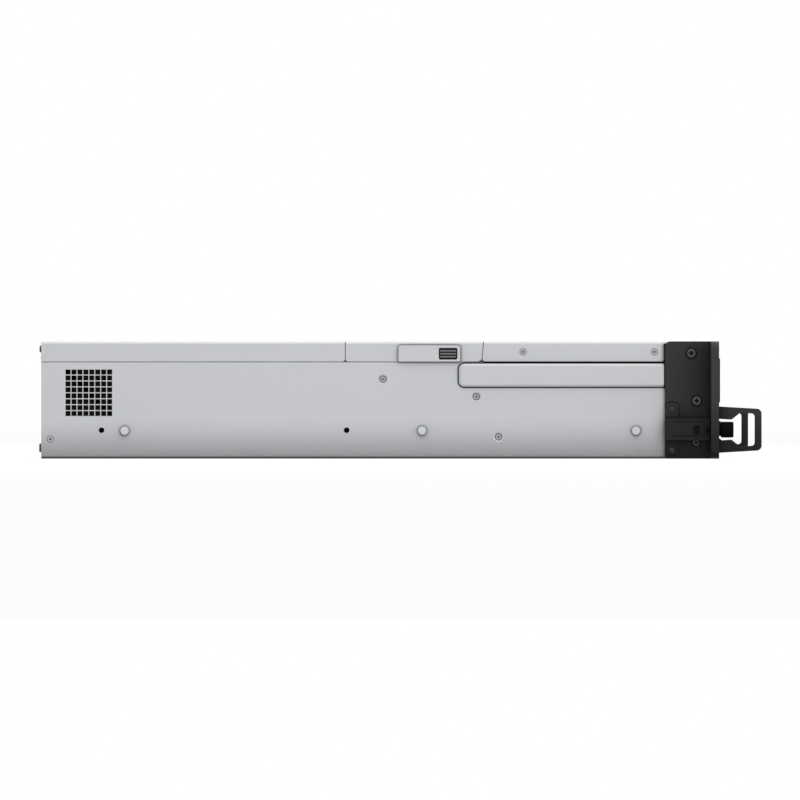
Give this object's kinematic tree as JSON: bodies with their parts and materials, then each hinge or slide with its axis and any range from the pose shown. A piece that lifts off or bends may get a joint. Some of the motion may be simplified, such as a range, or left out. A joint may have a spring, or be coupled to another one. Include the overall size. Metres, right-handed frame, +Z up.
{
  "type": "rack-mount nas",
  "caption": "Two-unit rack-mount network storage case with levered drive trays, lift-off fan cover, vented side wall, ears with loop handles and captive thumbscrews.",
  "frame": {"origin": "on the floor, in the middle of the unit from the handles' tips to the rear screws' heads and from ear to ear", "axes": "+Z up, the front with the drive trays faces -Y, +X to the right seen from the front"},
  "size_m": [0.4826, 0.5418, 0.088],
  "materials": {
    "steel": "satin",
    "zinc": "satin",
    "black_metal": "satin",
    "black_plastic": "matte",
    "screw": "polished",
    "board": "satin",
    "socket": "matte",
    "heatsink": "satin",
    "light": "gloss"
  },
  "bodies": {
    "case": {"chassis_shell": "steel", "rear_panel": "steel", "rear_cover": "steel", "front_cover": "steel", "drive_cage": "zinc", "backplane_board": "board", "drive_connectors": "socket", "fan_bracket": "zinc", "fan_housings": "black_plastic", "main_board": "board", "cpu_heatsink": "heatsink", "memory_modules": "board", "rear_ports": "zinc", "power_supply": "zinc", "slot_covers": "zinc", "ear_left": "black_metal", "ear_right": "black_metal", "pull_handles": "black_metal", "guide_plates": "black_metal", "guide_straps": "black_plastic", "front_plates": "black_plastic", "status_lights": "light", "cable_ducts": "steel", "rail_studs": "screw", "side_screws": "screw", "ear_screws": "black_metal", "rear_screws": "screw"},
    "fan_cover": {"fan_cover": "steel"},
    "cover_latch_left": {"cover_latch_left": "black_plastic"},
    "thumbscrew_left": {"thumbscrew_left": "black_metal"},
    "cover_latch_right": {"cover_latch_right": "black_plastic"},
    "thumbscrew_right": {"thumbscrew_right": "black_metal"},
    "power_button": {"power_button": "black_plastic"},
    "fan_rotor_1": {"fan_rotor_1": "black_plastic"},
    "fan_rotor_2": {"fan_rotor_2": "black_plastic"},
    "fan_rotor_3": {"fan_rotor_3": "black_plastic"},
    "tray_01": {"tray_01": "black_plastic"},
    "tray_02": {"tray_02": "black_plastic"},
    "tray_03": {"tray_03": "black_plastic"},
    "tray_04": {"tray_04": "black_plastic"},
    "tray_05": {"tray_05": "black_plastic"},
    "tray_06": {"tray_06": "black_plastic"},
    "tray_07": {"tray_07": "black_plastic"},
    "tray_08": {"tray_08": "black_plastic"},
    "tray_09": {"tray_09": "black_plastic"},
    "tray_10": {"tray_10": "black_plastic"},
    "tray_11": {"tray_11": "black_plastic"},
    "tray_12": {"tray_12": "black_plastic"},
    "tray_lever_01": {"tray_lever_01": "black_plastic"},
    "tray_lever_02": {"tray_lever_02": "black_plastic"},
    "tray_lever_03": {"tray_lever_03": "black_plastic"},
    "tray_lever_04": {"tray_lever_04": "black_plastic"},
    "tray_lever_05": {"tray_lever_05": "black_plastic"},
    "tray_lever_06": {"tray_lever_06": "black_plastic"},
    "tray_lever_07": {"tray_lever_07": "black_plastic"},
    "tray_lever_08": {"tray_lever_08": "black_plastic"},
    "tray_lever_09": {"tray_lever_09": "black_plastic"},
    "tray_lever_10": {"tray_lever_10": "black_plastic"},
    "tray_lever_11": {"tray_lever_11": "black_plastic"},
    "tray_lever_12": {"tray_lever_12": "black_plastic"}
  },
  "joints": [
    {"name": "fan_cover_lift", "type": "slide", "parent": "case", "child": "fan_cover", "axis": [0, 0, 1], "range_m": [0, 0.05]},
    {"name": "cover_latch_left_press", "type": "slide", "parent": "fan_cover", "child": "cover_latch_left", "axis": [1, 0, 0], "range_m": [0, 0.002], "stiffness_N_per_m": 600, "springref_m": -0.001},
    {"name": "cover_latch_right_press", "type": "slide", "parent": "fan_cover", "child": "cover_latch_right", "axis": [-1, 0, 0], "range_m": [0, 0.002], "stiffness_N_per_m": 600, "springref_m": -0.001},
    {"name": "power_button_press", "type": "slide", "parent": "case", "child": "power_button", "axis": [0, 1, 0], "range_m": [0, 0.0015], "stiffness_N_per_m": 600, "springref_m": -0.001},
    {"name": "thumbscrew_left_turn", "type": "hinge", "parent": "case", "child": "thumbscrew_left", "pos_m": [-0.23255, -0.23895, 0.0218], "axis": [0, -1, 0], "continuous": true},
    {"name": "thumbscrew_right_turn", "type": "hinge", "parent": "case", "child": "thumbscrew_right", "pos_m": [0.23255, -0.23895, 0.0218], "axis": [0, -1, 0], "continuous": true},
    {"name": "fan_1_spin", "type": "hinge", "parent": "case", "child": "fan_rotor_1", "pos_m": [-0.14, -0.01895, 0.0424], "axis": [0, -1, 0], "continuous": true},
    {"name": "fan_2_spin", "type": "hinge", "parent": "case", "child": "fan_rotor_2", "pos_m": [0, -0.01895, 0.0424], "axis": [0, -1, 0], "continuous": true},
    {"name": "fan_3_spin", "type": "hinge", "parent": "case", "child": "fan_rotor_3", "pos_m": [0.14, -0.01895, 0.0424], "axis": [0, -1, 0], "continuous": true},
    {"name": "tray_01_slide", "type": "slide", "parent": "case", "child": "tray_01", "axis": [0, -1, 0], "range_m": [0, 0.15]},
    {"name": "tray_lever_01_swing", "type": "hinge", "parent": "tray_01", "child": "tray_lever_01", "pos_m": [-0.11446, -0.23475, 0.0157], "axis": [0, 0, 1], "range_deg": [0, 75]},
    {"name": "tray_02_slide", "type": "slide", "parent": "case", "child": "tray_02", "axis": [0, -1, 0], "range_m": [0, 0.15]},
    {"name": "tray_lever_02_swing", "type": "hinge", "parent": "tray_02", "child": "tray_lever_02", "pos_m": [-0.00849, -0.23475, 0.0157], "axis": [0, 0, 1], "range_deg": [0, 75]},
    {"name": "tray_03_slide", "type": "slide", "parent": "case", "child": "tray_03", "axis": [0, -1, 0], "range_m": [0, 0.15]},
    {"name": "tray_lever_03_swing", "type": "hinge", "parent": "tray_03", "child": "tray_lever_03", "pos_m": [0.09749, -0.23475, 0.0157], "axis": [0, 0, 1], "range_deg": [0, 75]},
    {"name": "tray_04_slide", "type": "slide", "parent": "case", "child": "tray_04", "axis": [0, -1, 0], "range_m": [0, 0.15]},
    {"name": "tray_lever_04_swing", "type": "hinge", "parent": "tray_04", "child": "tray_lever_04", "pos_m": [0.20346, -0.23475, 0.0157], "axis": [0, 0, 1], "range_deg": [0, 75]},
    {"name": "tray_05_slide", "type": "slide", "parent": "case", "child": "tray_05", "axis": [0, -1, 0], "range_m": [0, 0.15]},
    {"name": "tray_lever_05_swing", "type": "hinge", "parent": "tray_05", "child": "tray_lever_05", "pos_m": [-0.11446, -0.23475, 0.0437], "axis": [0, 0, 1], "range_deg": [0, 75]},
    {"name": "tray_06_slide", "type": "slide", "parent": "case", "child": "tray_06", "axis": [0, -1, 0], "range_m": [0, 0.15]},
    {"name": "tray_lever_06_swing", "type": "hinge", "parent": "tray_06", "child": "tray_lever_06", "pos_m": [-0.00849, -0.23475, 0.0437], "axis": [0, 0, 1], "range_deg": [0, 75]},
    {"name": "tray_07_slide", "type": "slide", "parent": "case", "child": "tray_07", "axis": [0, -1, 0], "range_m": [0, 0.15]},
    {"name": "tray_lever_07_swing", "type": "hinge", "parent": "tray_07", "child": "tray_lever_07", "pos_m": [0.09749, -0.23475, 0.0437], "axis": [0, 0, 1], "range_deg": [0, 75]},
    {"name": "tray_08_slide", "type": "slide", "parent": "case", "child": "tray_08", "axis": [0, -1, 0], "range_m": [0, 0.15]},
    {"name": "tray_lever_08_swing", "type": "hinge", "parent": "tray_08", "child": "tray_lever_08", "pos_m": [0.20346, -0.23475, 0.0437], "axis": [0, 0, 1], "range_deg": [0, 75]},
    {"name": "tray_09_slide", "type": "slide", "parent": "case", "child": "tray_09", "axis": [0, -1, 0], "range_m": [0, 0.15]},
    {"name": "tray_lever_09_swing", "type": "hinge", "parent": "tray_09", "child": "tray_lever_09", "pos_m": [-0.11446, -0.23475, 0.0717], "axis": [0, 0, 1], "range_deg": [0, 75]},
    {"name": "tray_10_slide", "type": "slide", "parent": "case", "child": "tray_10", "axis": [0, -1, 0], "range_m": [0, 0.15]},
    {"name": "tray_lever_10_swing", "type": "hinge", "parent": "tray_10", "child": "tray_lever_10", "pos_m": [-0.00849, -0.23475, 0.0717], "axis": [0, 0, 1], "range_deg": [0, 75]},
    {"name": "tray_11_slide", "type": "slide", "parent": "case", "child": "tray_11", "axis": [0, -1, 0], "range_m": [0, 0.15]},
    {"name": "tray_lever_11_swing", "type": "hinge", "parent": "tray_11", "child": "tray_lever_11", "pos_m": [0.09749, -0.23475, 0.0717], "axis": [0, 0, 1], "range_deg": [0, 75]},
    {"name": "tray_12_slide", "type": "slide", "parent": "case", "child": "tray_12", "axis": [0, -1, 0], "range_m": [0, 0.15]},
    {"name": "tray_lever_12_swing", "type": "hinge", "parent": "tray_12", "child": "tray_lever_12", "pos_m": [0.20346, -0.23475, 0.0717], "axis": [0, 0, 1], "range_deg": [0, 75]}
  ]
}
